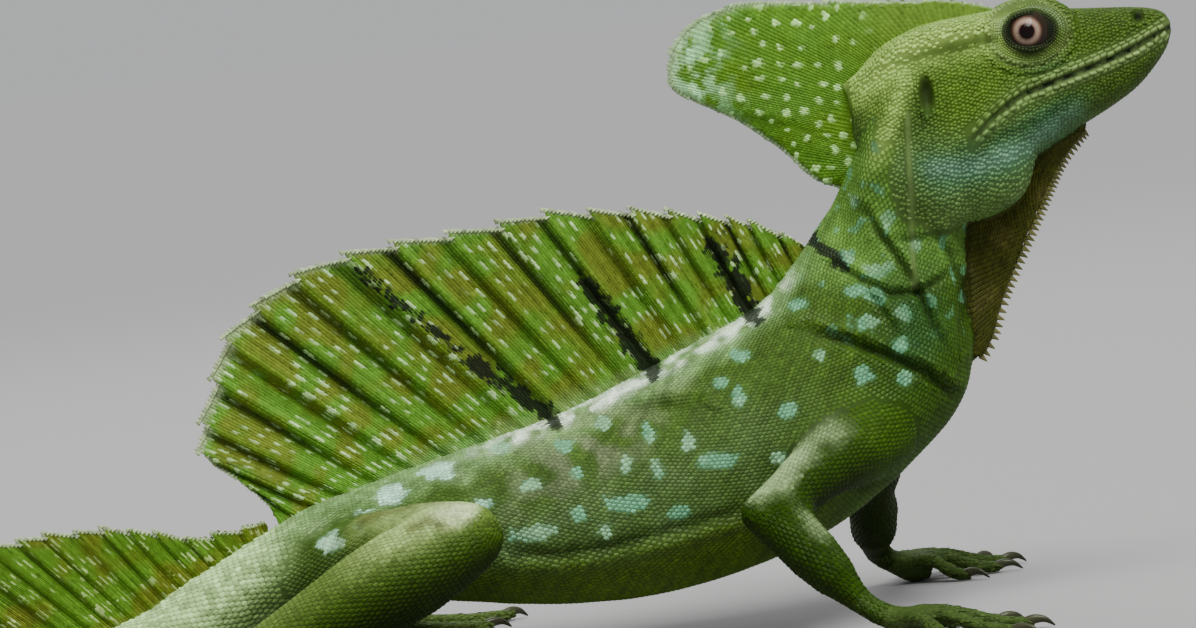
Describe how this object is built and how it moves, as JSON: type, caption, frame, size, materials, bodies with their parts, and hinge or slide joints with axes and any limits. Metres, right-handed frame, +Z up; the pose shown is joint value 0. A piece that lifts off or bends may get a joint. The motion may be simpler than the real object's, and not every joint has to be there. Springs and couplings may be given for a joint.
{
  "type": "lizard model",
  "caption": "Life-size still model of a male green basilisk with head, back and tail crests, propped on its forelegs with the tail laid behind.",
  "frame": {"origin": "on the floor below the middle of the bounding box, tail included", "axes": "+X towards the head, along the animal; +Y towards its left side; +Z up"},
  "size_m": [0.6494, 0.1506, 0.1183],
  "materials": {
    "skin": "scaly green hide",
    "crest": "thin scaly green membrane over rays",
    "throat": "scaly olive brown skin fold",
    "eye": "wet, glossy"
  },
  "bodies": {
    "root": {"neck": "skin", "torso": "skin", "tail_base": "skin", "tail_upper": "skin", "tail_middle": "skin", "tail_lower": "skin", "tail_tip": "skin", "head": "skin", "eye_right": "eye", "eye_left": "eye", "back_crest": "crest", "tail_crest": "crest", "head_crest": "crest", "dewlap": "throat", "upper_arm_right": "skin", "forearm_right": "skin", "hand_right": "skin", "thigh_right": "skin", "shank_right": "skin", "foot_right": "skin", "upper_arm_left": "skin", "forearm_left": "skin", "hand_left": "skin", "thigh_left": "skin", "shank_left": "skin", "foot_left": "skin"}
  },
  "joints": []
}
